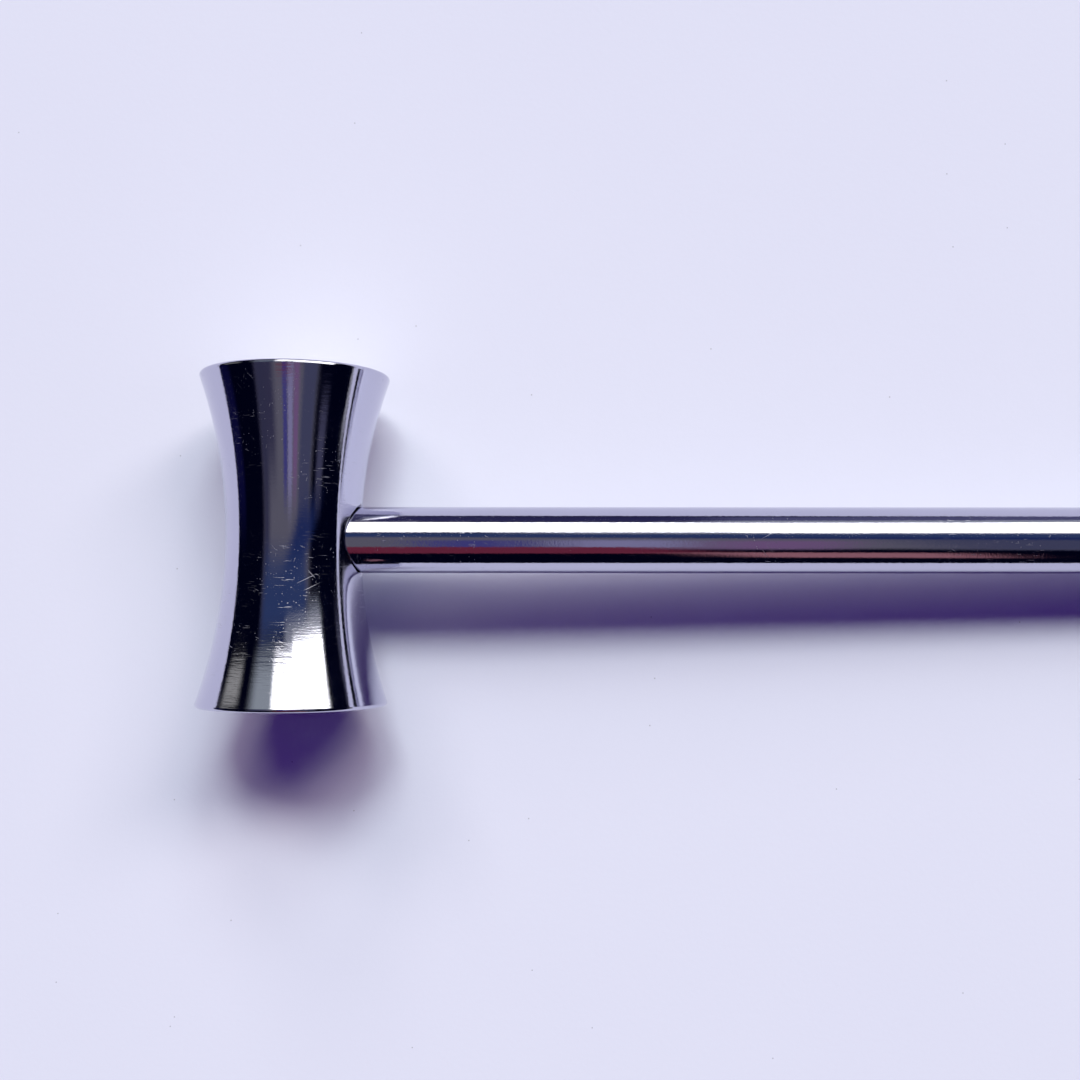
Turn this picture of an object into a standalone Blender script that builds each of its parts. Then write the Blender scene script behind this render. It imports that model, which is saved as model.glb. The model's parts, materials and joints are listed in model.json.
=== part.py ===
"""Reflex hammer: a waisted steel head with two rubber striking inserts, on a plain round handle.

The hammer lies on a flat surface at z = 0, resting on both rims of the head and on the far end of
the handle. +X runs from the head towards the handle's far end, +Y along the head, +Z up. The origin
is under the middle of the whole hammer.
"""

import math

import bmesh
import bpy

MM = 0.001

# Head: a turned hourglass.
HEAD_LENGTH = 40.0 * MM
HEAD_END_RADIUS = 11.4 * MM
HEAD_WAIST_RADIUS = 8.1 * MM
HEAD_EDGE_ROUND = 0.35 * MM

# Stepped pocket in each end of the head: a shallow recess, a narrow neck, and a wider hollow behind it.
RECESS_RADIUS = 8.9 * MM
RECESS_DEPTH = 3.5 * MM
RECESS_CHAMFER = 0.3 * MM
NECK_RADIUS = 2.7 * MM
NECK_LENGTH = 2.0 * MM
HOLLOW_RADIUS = 3.8 * MM
HOLLOW_LENGTH = 3.5 * MM

# Rubber inserts, which stand slightly proud of the steel rims.
INSERT_PROUD = 0.2 * MM
INSERT_EDGE_ROUND = 0.7 * MM
BULB_LEAD_IN_SLOPE = 2.0

# Handle: a round rod. Its length is measured from the head's axis.
HANDLE_RADIUS = 4.0 * MM
HANDLE_REACH = 190.0 * MM
HANDLE_END_ROUND = 0.6 * MM
HANDLE_CHAMFER = 0.3 * MM
HANDLE_SEAT = 3.0 * MM

# Double-ended threaded stud, M5 x 0.8, and the blind holes that it screws into.
THREAD_RADIUS = 2.5 * MM
THREAD_PITCH = 0.8 * MM
THREAD_DEPTH = 0.45 * MM
THREAD_STEEPNESS = 1.4
STUD_IN_HEAD = 7.2 * MM
STUD_IN_HANDLE = 10.5 * MM
HOLE_BEYOND_STUD = 0.5 * MM
DRILL_POINT_SLOPE = 0.6

# Clearance that pieces keep to each other.
GAP = 0.25 * MM

# Base colours, linear RGB.
POLISHED_STEEL_COLOUR = (0.72, 0.71, 0.74)
PLAIN_STEEL_COLOUR = (0.55, 0.55, 0.57)
RUBBER_COLOUR = (0.62, 0.61, 0.62)

# Fineness of the turned shapes.
AROUND = 56
FLANK_STEPS = 12
ROUND_STEPS = 4
THREAD_AROUND = 14
THREAD_ROWS = 4
SHARP_ANGLE = math.radians(30.0)
MERGE_DISTANCE = 0.00001

HOLE_RADIUS = THREAD_RADIUS + GAP
DRILL_POINT = HOLE_RADIUS * DRILL_POINT_SLOPE
FLOOR_OF_RECESS = HEAD_LENGTH / 2 - RECESS_DEPTH
FLOOR_OF_NECK = FLOOR_OF_RECESS - NECK_LENGTH
FLOOR_OF_HOLLOW = FLOOR_OF_NECK - HOLLOW_LENGTH


def clear_scene():
    for obj in list(bpy.data.objects):
        bpy.data.objects.remove(obj, do_unlink=True)


def new_collection(name):
    collection = bpy.data.collections.new(name)
    bpy.context.scene.collection.children.link(collection)
    return collection


def new_material(name, colour, metallic, roughness):
    material = bpy.data.materials.new(name)
    material.use_nodes = True
    shader = material.node_tree.nodes["Principled BSDF"]
    shader.inputs["Base Color"].default_value = (*colour, 1.0)
    shader.inputs["Metallic"].default_value = metallic
    shader.inputs["Roughness"].default_value = roughness
    material.diffuse_color = (*colour, 1.0)
    return material


def arc(centre_r, centre_z, radius, start, end, steps):
    """Points (r, z) along a circular arc, angles in radians from +r towards +z."""
    points = []
    for step in range(steps + 1):
        angle = start + (end - start) * step / steps
        points.append((centre_r + radius * math.cos(angle), centre_z + radius * math.sin(angle)))
    return points


def turned(name, outline, around):
    """A solid of revolution about local Z, from an outline (r, z) that runs top to bottom."""
    mesh = bpy.data.meshes.new(name)
    corners = [(r, 0.0, z) for r, z in outline]
    edges = [(i, i + 1) for i in range(len(corners) - 1)]
    mesh.from_pydata(corners, edges, [])
    obj = bpy.data.objects.new(name, mesh)
    bpy.context.scene.collection.objects.link(obj)
    screw = obj.modifiers.new("turn", "SCREW")
    screw.axis = "Z"
    screw.steps = around
    screw.render_steps = around
    screw.use_merge_vertices = True
    screw.merge_threshold = MERGE_DISTANCE
    screw.use_smooth_shade = True
    make_real(obj)
    return obj


def make_real(obj):
    """Turns the object's evaluated shape into its own mesh, smooth but for its real corners."""
    graph = bpy.context.evaluated_depsgraph_get()
    outline = obj.data
    obj.data = bpy.data.meshes.new_from_object(obj.evaluated_get(graph))
    obj.data.name = obj.name
    obj.modifiers.clear()
    bpy.data.meshes.remove(outline)
    obj.data.shade_smooth()
    obj.data.set_sharp_from_angle(angle=SHARP_ANGLE)


def place(obj, collection, frame, material, rotation):
    """Moves the object to its collection and sets it in the hammer's frame."""
    for other in list(obj.users_collection):
        other.objects.unlink(obj)
    collection.objects.link(obj)
    obj.parent = frame
    obj.rotation_euler = rotation
    if material:
        obj.data.materials.append(material)


def handle_slope():
    """How far the handle dips below level when its far end rests on the same surface as the head."""
    along = HANDLE_REACH - HANDLE_END_ROUND
    across = HANDLE_RADIUS - HANDLE_END_ROUND
    drop = HEAD_END_RADIUS - HANDLE_END_ROUND
    return math.asin(drop / math.hypot(along, across)) - math.atan2(across, along)


def make_frame():
    """An empty at the head's centre: its X is the handle's axis and its Y is the head's axis."""
    slope = handle_slope()
    along = (HANDLE_REACH - HANDLE_END_ROUND) * math.cos(slope)
    across = (HANDLE_RADIUS - HANDLE_END_ROUND) * math.sin(slope)
    far_side = along + across + HANDLE_END_ROUND
    frame = bpy.data.objects.new("hammer_frame", None)
    bpy.context.scene.collection.objects.link(frame)
    frame.location = ((HEAD_END_RADIUS - far_side) / 2, 0.0, HEAD_END_RADIUS)
    frame.rotation_euler = (0.0, slope, 0.0)
    return frame


def head_outline():
    """Half of the head's outline, from the bottom of the end pocket round the rim to the waist."""
    top = HEAD_LENGTH / 2
    round_r = HEAD_END_RADIUS - HEAD_EDGE_ROUND
    round_z = top - HEAD_EDGE_ROUND
    inset = HEAD_WAIST_RADIUS - round_r
    flank_radius = inset**2 + round_z**2 - HEAD_EDGE_ROUND**2
    flank_radius /= 2 * (HEAD_EDGE_ROUND - inset)
    flank_r = HEAD_WAIST_RADIUS + flank_radius
    meet = math.atan2(round_z, flank_r - round_r)
    pocket = [
        (0.0, FLOOR_OF_HOLLOW),
        (HOLLOW_RADIUS, FLOOR_OF_HOLLOW),
        (HOLLOW_RADIUS, FLOOR_OF_NECK),
        (NECK_RADIUS, FLOOR_OF_NECK),
        (NECK_RADIUS, FLOOR_OF_RECESS),
        (RECESS_RADIUS, FLOOR_OF_RECESS),
        (RECESS_RADIUS, top - RECESS_CHAMFER),
        (RECESS_RADIUS + RECESS_CHAMFER, top),
    ]
    rim = arc(round_r, round_z, HEAD_EDGE_ROUND, math.pi / 2, -meet, ROUND_STEPS)
    flank = arc(flank_r, 0.0, flank_radius, math.pi - meet, math.pi, FLANK_STEPS)
    return pocket + rim + flank[1:]


def make_handle_bore():
    """The cutter for the handle's socket in the head's waist and the tapped hole behind it."""
    hole_floor = HANDLE_SEAT - STUD_IN_HEAD - HOLE_BEYOND_STUD
    outline = [
        (0.0, HEAD_END_RADIUS),
        (HANDLE_RADIUS + GAP, HEAD_END_RADIUS),
        (HANDLE_RADIUS + GAP, HANDLE_SEAT),
        (HOLE_RADIUS, HANDLE_SEAT),
        (HOLE_RADIUS, hole_floor),
        (0.0, hole_floor - DRILL_POINT),
    ]
    return turned("handle_bore_cutter", outline, AROUND)


def make_head(parts, cutters, frame, material):
    half = head_outline()
    other_half = [(r, -z) for r, z in reversed(half[:-1])]
    head = turned("head_body", half + other_half, AROUND)
    place(head, parts, frame, material, (-math.pi / 2, 0.0, 0.0))
    bore = make_handle_bore()
    place(bore, cutters, frame, None, (0.0, math.pi / 2, 0.0))
    bore.hide_render = True
    bore.display_type = "WIRE"
    cut = head.modifiers.new("handle_bore", "BOOLEAN")
    cut.operation = "DIFFERENCE"
    cut.solver = "EXACT"
    cut.object = bore


def insert_outline():
    """The rubber insert: a flat disc with a rounded edge, and a stem with a bulb that snaps in."""
    face = HEAD_LENGTH / 2 + INSERT_PROUD
    disc_radius = RECESS_RADIUS - GAP
    bulb_radius = HOLLOW_RADIUS - GAP
    bulb_top = FLOOR_OF_NECK - GAP
    bulb_end = FLOOR_OF_HOLLOW + GAP
    stem_radius = NECK_RADIUS - GAP
    edge = arc(
        disc_radius - INSERT_EDGE_ROUND,
        face - INSERT_EDGE_ROUND,
        INSERT_EDGE_ROUND,
        math.pi / 2,
        0.0,
        ROUND_STEPS,
    )
    lead_in = (bulb_radius - stem_radius) * BULB_LEAD_IN_SLOPE
    return [
        (0.0, face),
        *edge,
        (disc_radius, FLOOR_OF_RECESS + GAP),
        (stem_radius, FLOOR_OF_RECESS + GAP),
        (stem_radius, bulb_top),
        (bulb_radius, bulb_top),
        (bulb_radius, bulb_end + lead_in),
        (stem_radius, bulb_end),
        (0.0, bulb_end),
    ]


def make_inserts(parts, frame, material):
    for name, turn in (("striking_insert_a", -math.pi / 2), ("striking_insert_b", math.pi / 2)):
        insert = turned(name, insert_outline(), AROUND)
        place(insert, parts, frame, material, (turn, 0.0, 0.0))


def make_handle(parts, frame, material):
    """The rod, with a tapped blind hole in the end that seats in the head."""
    near_end = HANDLE_SEAT + GAP
    hole_floor = near_end + STUD_IN_HANDLE + HOLE_BEYOND_STUD
    far_edge = arc(
        HANDLE_RADIUS - HANDLE_END_ROUND,
        HANDLE_REACH - HANDLE_END_ROUND,
        HANDLE_END_ROUND,
        math.pi / 2,
        0.0,
        ROUND_STEPS,
    )
    outline = [
        (0.0, HANDLE_REACH),
        *far_edge,
        (HANDLE_RADIUS, near_end + HANDLE_CHAMFER),
        (HANDLE_RADIUS - HANDLE_CHAMFER, near_end),
        (HOLE_RADIUS, near_end),
        (HOLE_RADIUS, hole_floor),
        (0.0, hole_floor + DRILL_POINT),
    ]
    rod = turned("handle_rod", outline, AROUND)
    place(rod, parts, frame, material, (0.0, math.pi / 2, 0.0))


def thread_radius(z, turn, bottom, top):
    """Radius of the thread at height z, a fraction turn of the way round, run out at both ends."""
    phase = (z / THREAD_PITCH - turn) % 1.0
    ridge = 1.0 - abs(2.0 * phase - 1.0)
    steep_ridge = THREAD_STEEPNESS * (ridge - 0.5) + 0.5
    flat_topped = min(1.0, max(0.0, steep_ridge))
    run_out = min(1.0, (z - bottom) / THREAD_PITCH, (top - z) / THREAD_PITCH)
    return THREAD_RADIUS - THREAD_DEPTH * (1.0 - flat_topped * max(0.0, run_out))


def make_stud(parts, frame, material):
    bottom = HANDLE_SEAT - STUD_IN_HEAD
    top = HANDLE_SEAT + GAP + STUD_IN_HANDLE
    rows = math.ceil((top - bottom) / THREAD_PITCH * THREAD_ROWS)
    shape = bmesh.new()
    rings = []
    for row in range(rows + 1):
        z = bottom + (top - bottom) * row / rows
        ring = []
        for column in range(THREAD_AROUND):
            turn = column / THREAD_AROUND
            angle = 2.0 * math.pi * turn
            radius = thread_radius(z, turn, bottom, top)
            ring.append(shape.verts.new((radius * math.cos(angle), radius * math.sin(angle), z)))
        rings.append(ring)
    for lower, upper in zip(rings, rings[1:]):
        for i in range(THREAD_AROUND):
            after = (i + 1) % THREAD_AROUND
            shape.faces.new((lower[i], lower[after], upper[after], upper[i]))
    shape.faces.new(list(reversed(rings[0])))
    shape.faces.new(rings[-1])
    mesh = bpy.data.meshes.new("handle_stud")
    shape.to_mesh(mesh)
    shape.free()
    stud = bpy.data.objects.new("handle_stud", mesh)
    bpy.context.scene.collection.objects.link(stud)
    place(stud, parts, frame, material, (0.0, math.pi / 2, 0.0))


def main():
    clear_scene()
    parts = new_collection("reflex_hammer")
    cutters = new_collection("cutters")
    frame = make_frame()
    polished_steel = new_material("polished_steel", POLISHED_STEEL_COLOUR, metallic=1.0, roughness=0.06)
    plain_steel = new_material("plain_steel", PLAIN_STEEL_COLOUR, metallic=1.0, roughness=0.30)
    rubber = new_material("pale_rubber", RUBBER_COLOUR, metallic=0.0, roughness=0.65)
    make_head(parts, cutters, frame, polished_steel)
    make_inserts(parts, frame, rubber)
    make_handle(parts, frame, polished_steel)
    make_stud(parts, frame, plain_steel)


main()
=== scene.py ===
"""Reflex hammer: the looks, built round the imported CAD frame.

A waisted head of polished steel, a plain round handle of polished steel, and a pale rubber insert in
each end of the head. Everything is built in the hammer's own frame: X runs along the handle from the
middle of the head, Y runs along the head, and the handle dips until its far end touches the floor.
"""

import json
import math

import bmesh
import bpy
from mathutils import Matrix, Vector


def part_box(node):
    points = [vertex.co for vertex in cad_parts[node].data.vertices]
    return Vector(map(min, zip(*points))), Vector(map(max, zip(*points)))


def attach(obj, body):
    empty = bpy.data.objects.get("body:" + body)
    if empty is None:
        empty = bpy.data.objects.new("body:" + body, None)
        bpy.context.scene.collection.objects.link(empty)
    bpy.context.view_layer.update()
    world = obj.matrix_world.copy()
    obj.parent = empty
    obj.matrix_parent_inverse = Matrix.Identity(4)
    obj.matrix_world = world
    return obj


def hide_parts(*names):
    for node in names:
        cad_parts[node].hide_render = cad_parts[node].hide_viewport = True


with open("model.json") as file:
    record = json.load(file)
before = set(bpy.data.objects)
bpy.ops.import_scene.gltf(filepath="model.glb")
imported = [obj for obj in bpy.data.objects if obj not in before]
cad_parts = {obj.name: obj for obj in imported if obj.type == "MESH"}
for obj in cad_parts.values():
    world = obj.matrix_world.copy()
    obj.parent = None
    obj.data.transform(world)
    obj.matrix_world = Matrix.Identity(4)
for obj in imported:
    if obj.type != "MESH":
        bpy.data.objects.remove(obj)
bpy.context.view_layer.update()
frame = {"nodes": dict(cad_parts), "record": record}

MM = 0.001
BODY = "root"

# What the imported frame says.
MOUNTS = {mount["name"]: mount for mount in frame["record"]["mounts"]}
FACE_A = Vector(MOUNTS["striking_face_a"]["pos_m"])
FACE_B = Vector(MOUNTS["striking_face_b"]["pos_m"])
HANDLE_END = Vector(MOUNTS["handle_end_face"]["pos_m"])
HEAD_LOW, HEAD_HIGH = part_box("head_body")
HEAD_CENTRE = (FACE_A + FACE_B) / 2
HEAD_LENGTH = HEAD_HIGH.y - HEAD_LOW.y
HEAD_END_RADIUS = HEAD_CENTRE.z
HANDLE_REACH = (HANDLE_END - HEAD_CENTRE).length
INSERT_FACE = (FACE_A - FACE_B).length / 2
HALF_HEAD = HEAD_LENGTH / 2

# Head.
HEAD_WAIST_RADIUS = 8.1 * MM
HEAD_EDGE_ROUND = 0.35 * MM
RECESS_RADIUS = 8.9 * MM
RECESS_CHAMFER = 0.3 * MM
NECK_RADIUS = 2.7 * MM
HOLLOW_RADIUS = 3.8 * MM
FLOOR_OF_RECESS = HALF_HEAD - 3.5 * MM
FLOOR_OF_NECK = FLOOR_OF_RECESS - 2.0 * MM
FLOOR_OF_HOLLOW = FLOOR_OF_NECK - 3.5 * MM

# Handle and its socket in the head.
HANDLE_RADIUS = 4.0 * MM
HANDLE_END_ROUND = 0.6 * MM
HANDLE_CHAMFER = 0.3 * MM
HANDLE_SEAT = 3.0 * MM
GAP = 0.25 * MM
SOCKET_RADIUS = HANDLE_RADIUS + GAP
SOCKET_EDGE_ROUND = 0.16 * MM
HOLE_RADIUS = 2.75 * MM
HOLE_FLOOR_IN_HEAD = -4.7 * MM
HOLE_DEPTH_IN_HANDLE = 11.0 * MM
DRILL_POINT = 1.65 * MM

# Inserts.
INSERT_EDGE_ROUND = 0.7 * MM

# Fineness.
AROUND = 192
ROUND_STEPS = 10
FLANK_STEP = 0.5 * MM
PATCH_ROWS = 12
PATCH_COLUMNS = 26
PATCH_RINGS = 14
FILLET_STEPS = 6
SHARP_ANGLE = math.radians(30.0)

# The head's flank is an arc that runs smoothly into the rounded rims.
RIM_R = HEAD_END_RADIUS - HEAD_EDGE_ROUND
RIM_Y = HALF_HEAD - HEAD_EDGE_ROUND
INSET = HEAD_WAIST_RADIUS - RIM_R
FLANK_RADIUS = (INSET**2 + RIM_Y**2 - HEAD_EDGE_ROUND**2) / (2 * (HEAD_EDGE_ROUND - INSET))
FLANK_CENTRE_R = HEAD_WAIST_RADIUS + FLANK_RADIUS
MEET_ANGLE = math.atan2(RIM_Y, FLANK_CENTRE_R - RIM_R)
MEET_Y = FLANK_RADIUS * math.sin(MEET_ANGLE)


# ---------------------------------------------------------------- shapes


def hammer_matrix():
    """From the hammer's own frame to the world."""
    along = (HANDLE_END - HEAD_CENTRE).normalized()
    across = Vector((0.0, 1.0, 0.0))
    up = along.cross(across)
    turn = Matrix((along, across, up)).transposed().to_4x4()
    return Matrix.Translation(HEAD_CENTRE) @ turn


def flank_r(y):
    """The flank's radius at that place along the head."""
    return FLANK_CENTRE_R - math.sqrt(FLANK_RADIUS**2 - y**2)


def flank_point(y, z):
    """The point of the flank that faces the handle, at that place along the head and height."""
    return Vector((math.sqrt(flank_r(y) ** 2 - z**2), y, z))


def head_normal(point):
    """The outward direction of the head's turned surface."""
    r = math.hypot(point.x, point.z)
    if abs(point.y) <= MEET_Y:
        out = (FLANK_CENTRE_R - r) / FLANK_RADIUS
        along = -point.y / FLANK_RADIUS
    else:
        out = (r - RIM_R) / HEAD_EDGE_ROUND
        along = math.copysign(abs(point.y) - RIM_Y, point.y) / HEAD_EDGE_ROUND
    return Vector((out * point.x / r, along, out * point.z / r)).normalized()


def arc(centre_r, centre_y, radius, start, end, steps):
    """Points along an arc of an outline, as (radius, place along the axis)."""
    points = []
    for step in range(steps + 1):
        angle = start + (end - start) * step / steps
        points.append((centre_r + radius * math.cos(angle), centre_y + radius * math.sin(angle)))
    return points


def half_head_outline():
    """From the bottom of the end pocket over the rim to the waist, as (radius, place along Y)."""
    pocket = [
        (0.0, FLOOR_OF_HOLLOW),
        (HOLLOW_RADIUS, FLOOR_OF_HOLLOW),
        (HOLLOW_RADIUS, FLOOR_OF_NECK),
        (NECK_RADIUS, FLOOR_OF_NECK),
        (NECK_RADIUS, FLOOR_OF_RECESS),
        (RECESS_RADIUS, FLOOR_OF_RECESS),
        (RECESS_RADIUS, HALF_HEAD - RECESS_CHAMFER),
        (RECESS_RADIUS + RECESS_CHAMFER, HALF_HEAD),
    ]
    rim = arc(RIM_R, RIM_Y, HEAD_EDGE_ROUND, math.pi / 2, -MEET_ANGLE, ROUND_STEPS)
    rows = int(MEET_Y / FLANK_STEP)
    flank = [(flank_r(row * FLANK_STEP), row * FLANK_STEP) for row in range(rows, -1, -1)]
    return pocket, rim, flank


def bridge(shape, first, second):
    """Faces between two rings of equal length, or between a ring and a single point."""
    faces = []
    count = max(len(first), len(second))
    for i in range(count):
        after = (i + 1) % count
        if len(first) == 1:
            corners = (first[0], second[after], second[i])
        elif len(second) == 1:
            corners = (first[i], first[after], second[0])
        else:
            corners = (first[i], first[after], second[after], second[i])
        faces.append(shape.faces.new(corners))
    return faces


def finish_mesh(name, shape, normals=None, curved=()):
    """Makes the object. Corners of the curved faces take their normals from the formula."""
    bmesh.ops.recalc_face_normals(shape, faces=shape.faces)
    shape.verts.index_update()
    shape.faces.index_update()
    by_vertex = {vert.index: normal for vert, normal in (normals or {}).items()}
    curved_faces = {face.index for face in curved}
    mesh = bpy.data.meshes.new(name)
    shape.to_mesh(mesh)
    shape.free()
    mesh.shade_smooth()
    mesh.set_sharp_from_angle(angle=SHARP_ANGLE)
    if by_vertex:
        # A corner with a zero vector keeps its own normal.
        corner_normals = [Vector((0.0, 0.0, 0.0))] * len(mesh.loops)
        for index in curved_faces:
            for corner in mesh.polygons[index].loop_indices:
                corner_normals[corner] = by_vertex[mesh.loops[corner].vertex_index]
        mesh.normals_split_custom_set(corner_normals)
    obj = bpy.data.objects.new(name, mesh)
    bpy.context.scene.collection.objects.link(obj)
    obj.matrix_world = hammer_matrix()
    return obj


def turned(name, outline, about_x=False):
    """A solid of revolution about Y, or about X, from its outline (radius, place along the axis)."""
    shape = bmesh.new()
    rings = []
    for radius, place in outline:
        ring = []
        for step in range(AROUND if radius > 0 else 1):
            angle = 2 * math.pi * step / AROUND
            first, second = radius * math.cos(angle), radius * math.sin(angle)
            spot = (place, first, second) if about_x else (first, place, second)
            ring.append(shape.verts.new(spot))
        rings.append(ring)
    for first, second in zip(rings, rings[1:]):
        bridge(shape, first, second)
    return finish_mesh(name, shape)


def column_of(step):
    """Columns are counted from the side that faces the handle, both ways."""
    return step if step <= AROUND // 2 else step - AROUND


def socket_rings(shape, rim, normals):
    """The handle's socket: a ring patch on the flank, a rounded edge, the wall, the seat, the hole."""
    ring_radius = SOCKET_RADIUS + SOCKET_EDGE_ROUND
    angles = [math.atan2(vert.co.z, vert.co.y) for vert in rim]
    rings = [rim]
    for step in range(1, PATCH_RINGS + 1):
        inwards = step / PATCH_RINGS
        ring = []
        for vert, angle in zip(rim, angles):
            y = vert.co.y + (ring_radius * math.cos(angle) - vert.co.y) * inwards
            z = vert.co.z + (ring_radius * math.sin(angle) - vert.co.z) * inwards
            made = shape.verts.new(flank_point(y, z))
            normals[made] = head_normal(made.co)
            ring.append(made)
        rings.append(ring)
    for step in range(1, FILLET_STEPS + 1):
        turn = math.pi / 2 * (1 - step / FILLET_STEPS)
        radius = SOCKET_RADIUS + SOCKET_EDGE_ROUND * (1 - math.cos(turn))
        depth = SOCKET_EDGE_ROUND * (1 - math.sin(turn))
        ring = []
        for angle in angles:
            outwards = Vector((0.0, math.cos(angle), math.sin(angle)))
            on_flank = flank_point(radius * outwards.y, radius * outwards.z)
            made = shape.verts.new(on_flank - Vector((depth, 0.0, 0.0)))
            facing = math.sin(turn) * head_normal(on_flank) - math.cos(turn) * outwards
            normals[made] = facing.normalized()
            ring.append(made)
        rings.append(ring)
    curved = []
    for first, second in zip(rings, rings[1:]):
        curved += bridge(shape, first, second)
    bore = [
        (SOCKET_RADIUS, HANDLE_SEAT),
        (HOLE_RADIUS, HANDLE_SEAT),
        (HOLE_RADIUS, HOLE_FLOOR_IN_HEAD),
        (0.0, HOLE_FLOOR_IN_HEAD - DRILL_POINT),
    ]
    last = rings[-1]
    for radius, x in bore:
        if radius > 0:
            spots = [(x, radius * math.cos(angle), radius * math.sin(angle)) for angle in angles]
        else:
            spots = [(x, 0.0, 0.0)]
        ring = [shape.verts.new(spot) for spot in spots]
        bridge(shape, last, ring)
        last = ring
    return curved


def make_head():
    """The turned head as one closed mesh, with the handle's socket let into its waist."""
    pocket, rim, flank = half_head_outline()
    half = pocket + rim + flank
    outline = half + [(r, -y) for r, y in reversed(half[:-1])]
    smooth_from = len(pocket)
    smooth_to = len(outline) - 1 - len(pocket)
    middle = len(half) - 1
    shape = bmesh.new()
    normals = {}
    rows = []
    for index, (radius, y) in enumerate(outline):
        row = []
        for step in range(AROUND if radius > 0 else 1):
            inside = abs(column_of(step)) < PATCH_COLUMNS and abs(index - middle) < PATCH_ROWS
            if inside:
                row.append(None)
                continue
            angle = 2 * math.pi * step / AROUND
            vert = shape.verts.new((radius * math.cos(angle), y, radius * math.sin(angle)))
            if smooth_from <= index <= smooth_to:
                normals[vert] = head_normal(vert.co)
            row.append(vert)
        rows.append(row)
    curved = []
    for index, (first, second) in enumerate(zip(rows, rows[1:])):
        if len(first) == 1 or len(second) == 1:
            bridge(shape, first, second)
            continue
        near_middle = middle - PATCH_ROWS <= index < middle + PATCH_ROWS
        for step in range(AROUND):
            after = (step + 1) % AROUND
            if near_middle and -PATCH_COLUMNS <= column_of(step) < PATCH_COLUMNS:
                continue
            face = shape.faces.new((first[step], first[after], second[after], second[step]))
            if smooth_from <= index < smooth_to:
                curved.append(face)
    columns = range(-PATCH_COLUMNS, PATCH_COLUMNS)
    lines = range(middle - PATCH_ROWS, middle + PATCH_ROWS)
    loop = [rows[lines.start][column] for column in columns]
    loop += [rows[line][PATCH_COLUMNS] for line in lines]
    loop += [rows[lines.stop][-column] for column in columns]
    loop += [rows[line + 1][-PATCH_COLUMNS] for line in reversed(lines)]
    curved += socket_rings(shape, loop, normals)
    return finish_mesh("hammer_head", shape, normals, curved)


def make_handle():
    """The plain round rod, with a chamfer and the stud's hole at its near end."""
    near_end = HANDLE_SEAT + GAP
    hole_floor = near_end + HOLE_DEPTH_IN_HANDLE
    rounded = HANDLE_RADIUS - HANDLE_END_ROUND
    far_edge = arc(
        rounded, HANDLE_REACH - HANDLE_END_ROUND, HANDLE_END_ROUND, math.pi / 2, 0.0, ROUND_STEPS
    )
    outline = [
        (0.0, HANDLE_REACH),
        *far_edge,
        (HANDLE_RADIUS, near_end + HANDLE_CHAMFER),
        (HANDLE_RADIUS - HANDLE_CHAMFER, near_end),
        (HOLE_RADIUS, near_end),
        (HOLE_RADIUS, hole_floor),
        (0.0, hole_floor + DRILL_POINT),
    ]
    return turned("handle", outline, about_x=True)


def make_insert(name, side):
    """A flat disc with a rounded edge, and a stem with a bulb that holds it in the head."""
    disc_radius = RECESS_RADIUS - GAP
    bulb_radius = HOLLOW_RADIUS - GAP
    stem_radius = NECK_RADIUS - GAP
    bulb_top = FLOOR_OF_NECK - GAP
    bulb_end = FLOOR_OF_HOLLOW + GAP
    edge = arc(
        disc_radius - INSERT_EDGE_ROUND,
        INSERT_FACE - INSERT_EDGE_ROUND,
        INSERT_EDGE_ROUND,
        math.pi / 2,
        0.0,
        ROUND_STEPS,
    )
    outline = [
        (0.0, INSERT_FACE),
        *edge,
        (disc_radius, FLOOR_OF_RECESS + GAP),
        (stem_radius, FLOOR_OF_RECESS + GAP),
        (stem_radius, bulb_top),
        (bulb_radius, bulb_top),
        (bulb_radius, bulb_end + 2 * (bulb_radius - stem_radius)),
        (stem_radius, bulb_end),
        (0.0, bulb_end),
    ]
    return turned(name, [(radius, side * place) for radius, place in outline])


# ---------------------------------------------------------------- nodes

# Sockets of the mix node that carry its share and its colours.
MIX_SHARE = 0
MIX_FIRST_COLOUR = 6
MIX_SECOND_COLOUR = 7
MIX_COLOUR = 2

# Most of a noise's values lie in this range.
NOISE_RANGE = (0.3, 0.7)

# A scratch is a dot of this size, in cells, drawn out long; its cells reach deep into the steel.
SCRATCH_DOT = 0.15
SCRATCH_CELLS_DOWN = 0.06


def add(tree, kind, **settings):
    """A new node with those settings."""
    made = tree.nodes.new(kind)
    for name, value in settings.items():
        setattr(made, name, value)
    return made


def feed(tree, source, target):
    """Links a socket to the target, or sets a plain value on it."""
    if isinstance(source, bpy.types.NodeSocket):
        tree.links.new(source, target)
    else:
        target.default_value = source


def maths(tree, operation, *values):
    """One operation on sockets or plain numbers."""
    made = add(tree, "ShaderNodeMath", operation=operation)
    for value, socket in zip(values, made.inputs):
        feed(tree, value, socket)
    return made.outputs[0]


def ramp(tree, value, low, high, out_low=0.0, out_high=1.0):
    """A smooth step from out_low at low to out_high at high."""
    made = add(tree, "ShaderNodeMapRange", interpolation_type="SMOOTHSTEP")
    for socket, number in zip(made.inputs, (value, low, high, out_low, out_high)):
        feed(tree, number, socket)
    return made.outputs[0]


def varied(tree, value, low, high):
    """Goes from low to high as a noise goes through most of its range."""
    return ramp(tree, value, *NOISE_RANGE, low, high)


def mixed(tree, share, first, second):
    """A colour between two."""
    made = add(tree, "ShaderNodeMix", data_type="RGBA")
    feed(tree, share, made.inputs[MIX_SHARE])
    feed(tree, first, made.inputs[MIX_FIRST_COLOUR])
    feed(tree, second, made.inputs[MIX_SECOND_COLOUR])
    return made.outputs[MIX_COLOUR]


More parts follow.
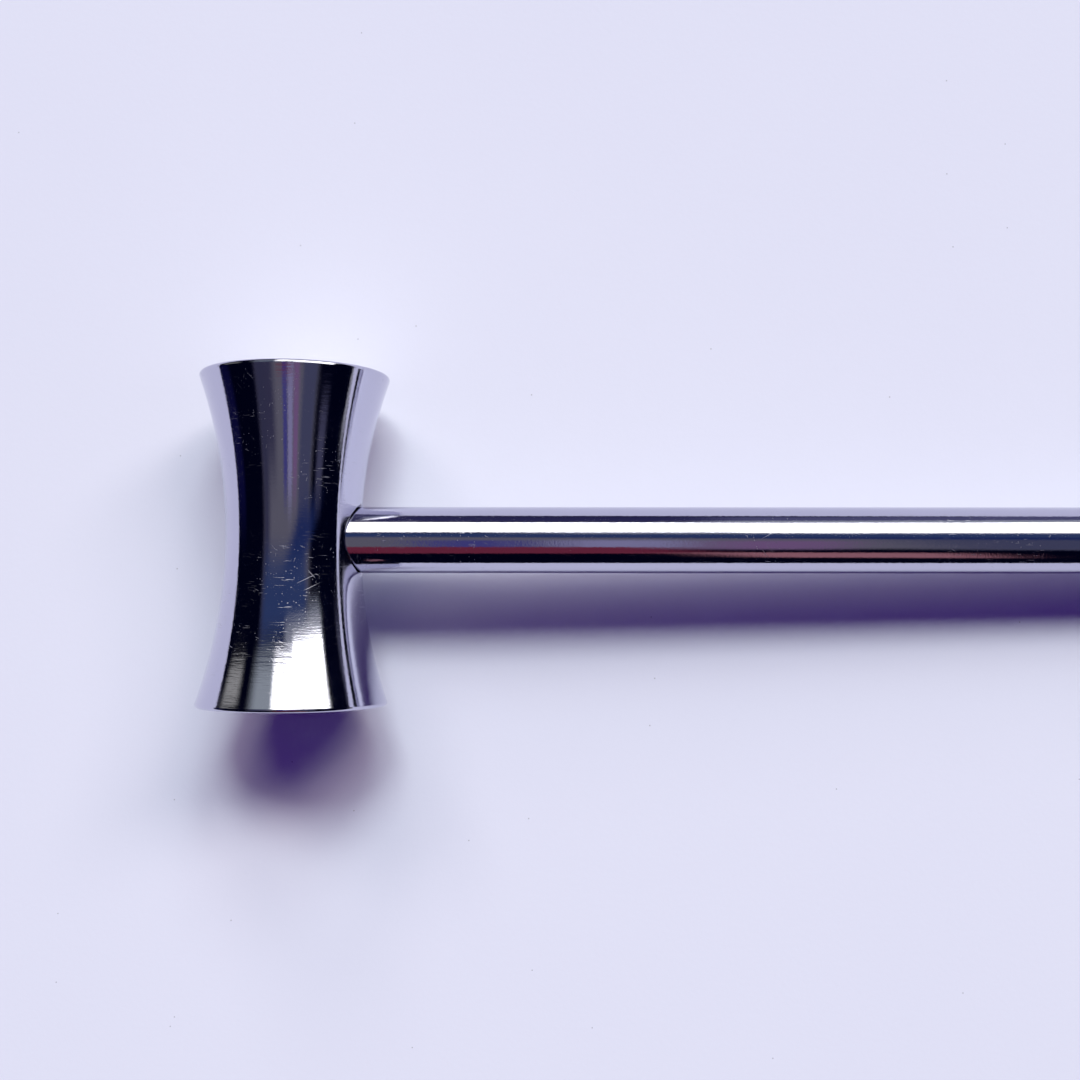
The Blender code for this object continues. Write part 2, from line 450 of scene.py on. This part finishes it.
def noise(tree, place, scale, detail=2.0, stretch=(1.0, 1.0, 1.0)):
    """Noise at that many waves per unit, finer along an axis with a larger stretch."""
    spread = add(tree, "ShaderNodeVectorMath", operation="MULTIPLY")
    feed(tree, place, spread.inputs[0])
    spread.inputs[1].default_value = stretch
    made = add(tree, "ShaderNodeTexNoise")
    feed(tree, spread.outputs[0], made.inputs["Vector"])
    made.inputs["Scale"].default_value = scale
    made.inputs["Detail"].default_value = detail
    return made.outputs["Fac"]


def bump(tree, height, distance, below=None):
    """Relief of that depth in metres, on top of the relief below it if there is any."""
    made = add(tree, "ShaderNodeBump")
    made.inputs["Strength"].default_value = 1.0
    made.inputs["Distance"].default_value = distance
    feed(tree, height, made.inputs["Height"])
    if below is not None:
        feed(tree, below, made.inputs["Normal"])
    return made.outputs["Normal"]


def new_material(name):
    """A material, its node tree, its shader, and the place on the piece in millimetres."""
    material = bpy.data.materials.new(name)
    material.use_nodes = True
    tree = material.node_tree
    shader = tree.nodes["Principled BSDF"]
    spot = add(tree, "ShaderNodeTexCoord").outputs["Object"]
    scaled = add(tree, "ShaderNodeVectorMath", operation="SCALE")
    feed(tree, spot, scaled.inputs[0])
    scaled.inputs["Scale"].default_value = 1.0 / MM
    return material, tree, shader, scaled.outputs[0]


def scratches(tree, place, heading, length, width, share):
    """Straight hairlines that run one way: long thin dots, one in the middle of some long cells."""
    aligned = add(tree, "ShaderNodeVectorRotate", rotation_type="Z_AXIS")
    feed(tree, place, aligned.inputs["Vector"])
    aligned.inputs["Angle"].default_value = -math.radians(heading)
    squeezed = add(tree, "ShaderNodeVectorMath", operation="MULTIPLY")
    feed(tree, aligned.outputs[0], squeezed.inputs[0])
    dot_width = 2 * SCRATCH_DOT
    squeezed.inputs[1].default_value = (dot_width / length, dot_width / width, SCRATCH_CELLS_DOWN)
    return specks(tree, squeezed.outputs[0], 1.0, SCRATCH_DOT, share)


def specks(tree, place, scale, size, share, dimensions="3D"):
    """Small pits or dust: a dot that fades from half its size, in the middle of some cells."""
    cells = add(tree, "ShaderNodeTexVoronoi", feature="F1", voronoi_dimensions=dimensions)
    feed(tree, place, cells.inputs["Vector"])
    cells.inputs["Scale"].default_value = scale
    dot = ramp(tree, cells.outputs["Distance"], size / 2, size, 1.0, 0.0)
    apart = add(tree, "ShaderNodeSeparateColor")
    feed(tree, cells.outputs["Color"], apart.inputs[0])
    chosen = maths(tree, "LESS_THAN", apart.outputs[0], share)
    return maths(tree, "MULTIPLY", dot, chosen)


# ---------------------------------------------------------------- materials

# Scales are waves or cells for each millimetre.

# Polished steel, and how rough it is where it is clean and where it is smudged.
STEEL_COLOUR = (0.545, 0.54, 0.655, 1.0)
WORN_STEEL_COLOUR = (0.50, 0.495, 0.60, 1.0)
POLISH_ROUGHNESS = (0.05, 0.11)
SMUDGE_SCALE = 0.25
SMUDGE_RANGE = (0.35, 0.75)
GRAIN_SCALE = 5.0

# Tool marks are long and thin. They are faint at the waist, and grow between two distances from the
# head's middle, in millimetres.
MARK_THINNESS = 0.10
BROAD_MARK_RATIO = 4
BROAD_MARK_HEIGHT = 1.5
MARKS_GROW = (8.0, 17.0)
MARKS_AT_WAIST = 0.25

# Pits: scale, size in cells and share of the cells. Damage of any kind is rougher, duller and sunk.
PITS = (3.0, 0.20, 0.40)
DAMAGE_ROUGHNESS = 0.35
DAMAGE_DULLNESS = 0.3
DAMAGE_DEPTH = 0.0015 * MM

# Wear on the steel: heading from the handle's direction, length and width in millimetres, how many.
SCRATCHES = [
    (0, 1.3, 0.05, 0.30),
    (3, 0.8, 0.05, 0.35),
    (-4, 1.0, 0.05, 0.30),
    (28, 3.0, 0.06, 0.07),
    (-50, 1.6, 0.06, 0.10),
    (75, 0.7, 0.05, 0.12),
    (-24, 0.8, 0.07, 0.15),
]

# Places on top of the head where the wear gathers: to +X, to +Y and radius, in millimetres.
WORN_SPOTS = [(0.8, -4.5, 5.5), (4.0, 7.0, 4.0), (-4.0, -11.5, 3.0)]
WORN_SPOT_FADE = 1.5
WORN_EDGE_SCALE = 0.45
WORN_PATCH_SCALE = 0.15
WORN_PATCH_RANGE = (0.46, 0.68)

# Pale rubber of the inserts.
RUBBER_DARK = (0.56, 0.55, 0.56, 1.0)
RUBBER_LIGHT = (0.66, 0.65, 0.66, 1.0)
RUBBER_ROUGHNESS = (0.34, 0.46)
RUBBER_CLOUD_SCALE = 0.5
RUBBER_GRAIN_SCALE = 9.0
RUBBER_GRAIN_DEPTH = 0.02 * MM
MOULD_RING_SPACING = 0.45
MOULD_RING_DEPTH = 0.0015 * MM

# Plain steel of the stud.
STUD_DARK = (0.48, 0.48, 0.50, 1.0)
STUD_LIGHT = (0.60, 0.60, 0.61, 1.0)
STUD_ROUGHNESS = (0.24, 0.38)
STUD_FILM_SCALE = 1.2
STUD_GRAIN_SCALE = 6.0
STUD_GRAIN_DEPTH = 0.002 * MM

# Pale card of the floor, and the dust on it: scale, size in cells and share of the cells.
CARD_DARK = (0.715, 0.723, 0.886, 1.0)
CARD_LIGHT = (0.735, 0.743, 0.900, 1.0)
CARD_ROUGHNESS = (0.85, 0.95)
CARD_CLOUD_SCALE = 0.02
CARD_FIBRE_SCALE = 1.5
CARD_FIBRE_DEPTH = 0.01 * MM
DUST = (0.13, 0.014, 0.12)
DUST_COLOUR = (0.40, 0.40, 0.50, 1.0)


def tool_marks(tree, place, axis, scale):
    """Fine and broad marks that run across one axis, rougher towards the head's ends."""
    stretch = tuple(1.0 if letter == axis else MARK_THINNESS for letter in "XYZ")
    fine = noise(tree, place, scale, stretch=stretch)
    broad = noise(tree, place, scale / BROAD_MARK_RATIO, stretch=stretch)
    marks = maths(tree, "ADD", fine, maths(tree, "MULTIPLY", broad, BROAD_MARK_HEIGHT))
    apart = add(tree, "ShaderNodeSeparateXYZ")
    feed(tree, place, apart.inputs[0])
    from_middle = maths(tree, "ABSOLUTE", apart.outputs["Y"])
    growth = ramp(tree, from_middle, *MARKS_GROW, MARKS_AT_WAIST, 1.0)
    return maths(tree, "MULTIPLY", marks, growth)


def worn_places(tree, place, spots):
    """Where the wear gathers: patches everywhere, and round the given places on the upper side."""
    patches = noise(tree, place, WORN_PATCH_SCALE, detail=3.0)
    worn = ramp(tree, patches, *WORN_PATCH_RANGE)
    cloud = noise(tree, place, WORN_EDGE_SCALE, detail=3.0)
    for x, y, radius in spots:
        away = add(tree, "ShaderNodeVectorMath", operation="DISTANCE")
        feed(tree, place, away.inputs[0])
        away.inputs[1].default_value = (x, y, HEAD_WAIST_RADIUS / MM)
        ragged = maths(tree, "ADD", away.outputs["Value"], maths(tree, "MULTIPLY", cloud, radius))
        spot = ramp(tree, ragged, radius, WORN_SPOT_FADE * radius, 1.0, 0.0)
        worn = maths(tree, "MAXIMUM", worn, spot)
    return worn


def wear_marks(tree, place, wear, worn_spots):
    """Pits and scratches, where the wear gathers."""
    damage = specks(tree, place, *PITS)
    for heading, length, width, share in SCRATCHES:
        hairlines = scratches(tree, place, heading, length, width, share)
        damage = maths(tree, "MAXIMUM", damage, hairlines)
    worn = worn_places(tree, place, worn_spots)
    return maths(tree, "MULTIPLY", damage, maths(tree, "MULTIPLY", worn, wear))


def steel_material(name, marks_axis, marks_scale, marks_depth, grain_depth, wear, worn_spots=()):
    """Polished steel: fine tool marks across one axis, hairline scratches, pits and faint smudges."""
    material, tree, shader, place = new_material(name)
    marks = tool_marks(tree, place, marks_axis, marks_scale)
    damage = wear_marks(tree, place, wear, worn_spots)
    smudge = noise(tree, place, SMUDGE_SCALE, detail=4.0)
    roughness = ramp(tree, smudge, *SMUDGE_RANGE, *POLISH_ROUGHNESS)
    roughness = maths(tree, "ADD", roughness, maths(tree, "MULTIPLY", damage, DAMAGE_ROUGHNESS))
    feed(tree, roughness, shader.inputs["Roughness"])
    colour = mixed(tree, damage, STEEL_COLOUR, WORN_STEEL_COLOUR)
    feed(tree, colour, shader.inputs["Base Color"])
    dulled = maths(tree, "MULTIPLY", damage, DAMAGE_DULLNESS)
    feed(tree, maths(tree, "SUBTRACT", 1.0, dulled), shader.inputs["Metallic"])
    normal = bump(tree, noise(tree, place, GRAIN_SCALE), grain_depth)
    normal = bump(tree, marks, marks_depth, normal)
    normal = bump(tree, maths(tree, "MULTIPLY", damage, -1.0), DAMAGE_DEPTH, normal)
    feed(tree, normal, shader.inputs["Normal"])
    return material


def rubber_material():
    """Pale moulded rubber: a fine grain, faint rings from the mould, and slightly uneven colour."""
    material, tree, shader, place = new_material("pale_rubber")
    grain = noise(tree, place, RUBBER_GRAIN_SCALE, detail=4.0)
    cloud = noise(tree, place, RUBBER_CLOUD_SCALE, detail=3.0)
    apart = add(tree, "ShaderNodeSeparateXYZ")
    feed(tree, place, apart.inputs[0])
    across = maths(tree, "POWER", apart.outputs["X"], 2.0)
    upwards = maths(tree, "POWER", apart.outputs["Z"], 2.0)
    radius = maths(tree, "SQRT", maths(tree, "ADD", across, upwards))
    rings = maths(tree, "SINE", maths(tree, "MULTIPLY", radius, 2 * math.pi / MOULD_RING_SPACING))
    feed(tree, mixed(tree, cloud, RUBBER_DARK, RUBBER_LIGHT), shader.inputs["Base Color"])
    feed(tree, varied(tree, cloud, *RUBBER_ROUGHNESS), shader.inputs["Roughness"])
    normal = bump(tree, rings, MOULD_RING_DEPTH)
    normal = bump(tree, grain, RUBBER_GRAIN_DEPTH, normal)
    feed(tree, normal, shader.inputs["Normal"])
    return material


def stud_material():
    """Plain machined steel, duller than the polished pieces."""
    material, tree, shader, place = new_material("plain_steel")
    film = noise(tree, place, STUD_FILM_SCALE, detail=3.0)
    grain = noise(tree, place, STUD_GRAIN_SCALE, detail=3.0)
    feed(tree, mixed(tree, film, STUD_DARK, STUD_LIGHT), shader.inputs["Base Color"])
    feed(tree, varied(tree, film, *STUD_ROUGHNESS), shader.inputs["Roughness"])
    shader.inputs["Metallic"].default_value = 1.0
    feed(tree, bump(tree, grain, STUD_GRAIN_DEPTH), shader.inputs["Normal"])
    return material


def floor_material():
    """Matte pale lavender card: barely visible unevenness and a few specks of dust."""
    material, tree, shader, place = new_material("pale_card")
    cloud = noise(tree, place, CARD_CLOUD_SCALE, detail=3.0)
    fibre = noise(tree, place, CARD_FIBRE_SCALE, detail=3.0)
    dust = specks(tree, place, *DUST, dimensions="2D")
    card = mixed(tree, cloud, CARD_DARK, CARD_LIGHT)
    feed(tree, mixed(tree, dust, card, DUST_COLOUR), shader.inputs["Base Color"])
    feed(tree, varied(tree, fibre, *CARD_ROUGHNESS), shader.inputs["Roughness"])
    shader.inputs["Specular IOR Level"].default_value = 0.0
    feed(tree, bump(tree, fibre, CARD_FIBRE_DEPTH), shader.inputs["Normal"])
    return material


# ---------------------------------------------------------------- stage, light and camera

FLOOR_RADIUS = 8.0
FLOOR_SIDES = 96

# The world's colours: past the floor's edge, in the shadows, and between the mirrored panels.
BACKDROP = (0.745, 0.753, 0.92, 1.0)
SHADOW_TINT = (0.032, 0.001, 0.126, 1.0)
SURROUNDINGS = (0.0005, 0.001, 0.009, 1.0)

# Soft key light: broad lamps side by side, a little redder at the edges of the group. Their places
# are degrees away from straight up, to +X and to +Y; then each lamp's share of the light.
KEY_MIDDLE_COLOUR = (0.975, 1.087, 0.97)
KEY_EDGE_COLOUR = (1.033, 0.948, 0.83)
KEY_ON_FLOOR = 3.22
KEY_SIZE = math.radians(15.0)
KEY_LAMPS = [
    (0, 37, 0.30, KEY_MIDDLE_COLOUR),
    (14, 37, 0.145, KEY_MIDDLE_COLOUR),
    (15, 50, 0.09, KEY_MIDDLE_COLOUR),
    (29, 34, 0.155, KEY_EDGE_COLOUR),
    (43, 34, 0.09, KEY_EDGE_COLOUR),
    (-14, 43, 0.06, KEY_EDGE_COLOUR),
    (-27, 44, 0.08, KEY_EDGE_COLOUR),
    (-4, 62, 0.055, KEY_EDGE_COLOUR),
]

# What the polished steel mirrors: soft-edged panels of the room overhead. Their places are degrees
# away from straight up, to +X and to +Y; "lean" shifts a panel towards +X as it goes to +Y.
PANELS = [
    # name, (left, right), (low, high), side blur, end blur, lean, colour
    ("ceiling", (-34, 38), (-32, 16), 6, 6, 0.0, (0.151, 0.145, 0.173)),
    ("ceiling_left_dim", (-36, -15), (-34, -8), 5, 8, 0.0, (0.048, 0.046, 0.087)),
    ("ceiling_left_edge", (-36, -27), (-40, 20), 5, 8, 0.0, (0.045, 0.045, 0.085)),
    ("ceiling_right_dim", (19, 36), (-34, 4), 3, 6, -0.1, (0.075, 0.080, 0.140)),
    ("blue_strip", (-3.5, 2.0), (-34, -4), 1.0, 5, 0.0, (0.073, 0.068, 0.245)),
    ("lilac_strip", (3.0, 9.5), (-34, -3), 1.0, 6, 0.0, (0.290, 0.272, 0.428)),
    ("rose_strip", (10.5, 17.0), (-34, -5), 1.5, 6, 0.0, (0.224, 0.127, 0.250)),
    ("blue_corner", (19, 50), (-2, 12), 9, 5, -2.5, (0.017, 0.032, 0.125)),
    ("blue_band", (-34, 34), (7, 21), 6, 5, 0.0, (0.036, 0.062, 0.160)),
    ("grey_wedge", (30, 47), (16, 25), 5, 3, 0.4, (0.230, 0.255, 0.290)),
    ("right_patch", (47, 57), (-22, -3), 3, 5, 0.0, (0.067, 0.067, 0.117)),
    ("window_side", (-37, -8), (24, 44), 8, 4, 0.0, (0.380, 0.425, 0.430)),
    ("window_haze", (2, 54), (18.5, 27), 4, 2.5, 0.0, (0.320, 0.340, 0.370)),
    ("window", (-11, 55), (24.8, 60), 4.0, 2.2, 0.0, (4.2, 4.2, 3.8)),
    ("window_corner", (13, 55), (22.5, 32), 2.0, 2.2, 0.0, (4.2, 4.2, 3.8)),
    ("window_bar", (23.5, 25), (27, 58), 0.8, 2, 0.0, (1.1, 1.15, 1.1)),
    ("left_streak", (-77, -55), (24, 31), 5, 2.5, 0.0, (0.400, 0.400, 0.352)),
    ("low_wall", (-60, 60), (61, 84), 8, 2.0, 0.0, (0.036, 0.034, 0.105)),
    ("low_wall_bright", (12, 60), (61, 83), 2, 2.0, 0.0, (0.110, 0.110, 0.215)),
    ("low_window", (11, 60), (58, 67), 2, 3, 0.0, (0.420, 0.450, 0.500)),
    ("skirting", (-60, 60), (84, 90), 8, 1.0, 0.0, (0.022, 0.020, 0.070)),
    ("warm_card", (-14, 5.5), (-50, -27), 1.8, 2.5, -0.1, (0.190, 0.028, 0.055)),
    ("warm_edge", (-2, 12), (-64, -46), 2.5, 3.0, -0.25, (0.400, 0.170, 0.190)),
    ("left_wall", (-90, -73), (-24, 2), 4, 6, 0.0, (0.005, 0.005, 0.041)),
    ("right_line", (83, 87), (-40, -14), 0.8, 5, 0.0, (0.363, 0.363, 0.388)),
    ("right_line_low", (80, 87), (22, 50), 2, 8, 0.0, (0.080, 0.080, 0.120)),
]


def panel_mask(tree, across, along, sides, ends, side_blur, end_blur, lean):
    """1 inside the panel, 0 outside, with soft edges."""
    leaning = maths(tree, "SUBTRACT", across, maths(tree, "MULTIPLY", along, lean))
    parts = []
    for value, (low, high), blur in ((leaning, sides, side_blur), (along, ends, end_blur)):
        parts.append(ramp(tree, value, low - blur, low + blur))
        parts.append(ramp(tree, value, high - blur, high + blur, 1.0, 0.0))
    mask = parts[0]
    for part in parts[1:]:
        mask = maths(tree, "MULTIPLY", mask, part)
    return mask


# Keeps the direction straight up from dividing by zero.
NEARLY_ZERO = 0.001


def make_world():
    """A pale backdrop to look at, dim violet light to fill shadows, and a dark room to reflect."""
    world = bpy.data.worlds.new("room")
    bpy.context.scene.world = world
    world.use_nodes = True
    world.cycles.sampling_method = "NONE"
    tree = world.node_tree
    direction = add(tree, "ShaderNodeTexCoord").outputs["Generated"]
    apart = add(tree, "ShaderNodeSeparateXYZ")
    feed(tree, direction, apart.inputs[0])
    x, y, z = apart.outputs
    from_top = maths(tree, "DEGREES", maths(tree, "ARCCOSINE", z))
    flat = maths(tree, "SQRT", maths(tree, "SUBTRACT", 1.0, maths(tree, "MULTIPLY", z, z)))
    stretch = maths(tree, "DIVIDE", from_top, maths(tree, "MAXIMUM", flat, NEARLY_ZERO))
    across = maths(tree, "MULTIPLY", x, stretch)
    along = maths(tree, "MULTIPLY", y, stretch)
    room = SURROUNDINGS
    for name, sides, ends, side_blur, end_blur, lean, colour in PANELS:
        mask = panel_mask(tree, across, along, sides, ends, side_blur, end_blur, lean)
        room = mixed(tree, mask, room, (*colour, 1.0))
        room.node.label = name
    ray = add(tree, "ShaderNodeLightPath")
    shown = mixed(tree, ray.outputs["Is Glossy Ray"], SHADOW_TINT, room)
    shown = mixed(tree, ray.outputs["Is Camera Ray"], shown, BACKDROP)
    feed(tree, shown, tree.nodes["Background"].inputs["Color"])


def make_key_lights():
    """Lights the floor and the inserts. The steel mirrors the world's panels, not these lamps."""
    for number, (to_x, to_y, share, colour) in enumerate(KEY_LAMPS):
        zenith = math.radians(math.hypot(to_x, to_y))
        azimuth = math.atan2(to_y, to_x)
        lamp = bpy.data.lights.new(f"key_{number}", "SUN")
        lamp.energy = share * KEY_ON_FLOOR / math.cos(zenith)
        lamp.color = colour
        lamp.angle = KEY_SIZE
        obj = bpy.data.objects.new(f"key_{number}", lamp)
        bpy.context.scene.collection.objects.link(obj)
        obj.rotation_euler = (0.0, zenith, azimuth)
        obj.visible_glossy = False


def make_floor():
    """A wide round floor at height 0, where the rims and the handle's far end touch it."""
    mesh = bpy.data.meshes.new("floor")
    shape = bmesh.new()
    bmesh.ops.create_circle(shape, cap_ends=True, segments=FLOOR_SIDES, radius=FLOOR_RADIUS)
    shape.to_mesh(mesh)
    shape.free()
    floor = bpy.data.objects.new("floor", mesh)
    bpy.context.scene.collection.objects.link(floor)
    mesh.materials.append(floor_material())


# The camera looks almost straight down from over the handle's near end.
CAMERA_FROM_HEAD = Vector((37.0, -8.4, 152.4)) * MM
CAMERA_TILT = (math.radians(3.134), math.radians(2.681), math.radians(-0.08))
CAMERA_LENS = 42.41
SENSOR_WIDTH = 36.0
CLIP_START = 0.001
CLIP_END = 50.0


def make_camera():
    """The camera at the photo's viewing angle."""
    camera = bpy.data.objects.new("camera", bpy.data.cameras.new("camera"))
    bpy.context.scene.collection.objects.link(camera)
    bpy.context.scene.camera = camera
    camera.data.lens = CAMERA_LENS
    camera.data.sensor_width = SENSOR_WIDTH
    camera.data.clip_start = CLIP_START
    camera.data.clip_end = CLIP_END
    camera.location = HEAD_CENTRE + CAMERA_FROM_HEAD
    camera.rotation_mode = "ZYX"
    camera.rotation_euler = CAMERA_TILT


# ---------------------------------------------------------------- the hammer


def dress(piece, material, slot, *nodes):
    """Gives a piece its material, and makes it ride with the frame in place of its CAD nodes."""
    piece.data.materials.clear()
    piece.data.materials.append(material)
    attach(piece, BODY)
    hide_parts(*nodes)


def make_hammer():
    """The four visible pieces, and the stud, which keeps its CAD shape."""
    head_steel = steel_material(
        "head_steel",
        marks_axis="Y",
        marks_scale=5.0,
        marks_depth=0.0060 * MM,
        grain_depth=0.0030 * MM,
        wear=1.0,
        worn_spots=WORN_SPOTS,
    )
    handle_steel = steel_material(
        "handle_steel",
        marks_axis="X",
        marks_scale=2.0,
        marks_depth=0.0030 * MM,
        grain_depth=0.0045 * MM,
        wear=0.8,
    )
    rubber = rubber_material()
    dress(make_head(), head_steel, "head_steel", "head_body")
    dress(make_handle(), handle_steel, "handle_steel", "handle_rod")
    dress(make_insert("insert_a", 1), rubber, "striking_rubber", "striking_insert_a")
    dress(make_insert("insert_b", -1), rubber, "striking_rubber", "striking_insert_b")
    stud = frame["nodes"]["handle_stud"]
    stud.data.materials.clear()
    stud.data.materials.append(stud_material())


bpy.context.scene.view_settings.view_transform = "Standard"
make_hammer()
make_floor()
make_key_lights()
make_world()
make_camera()
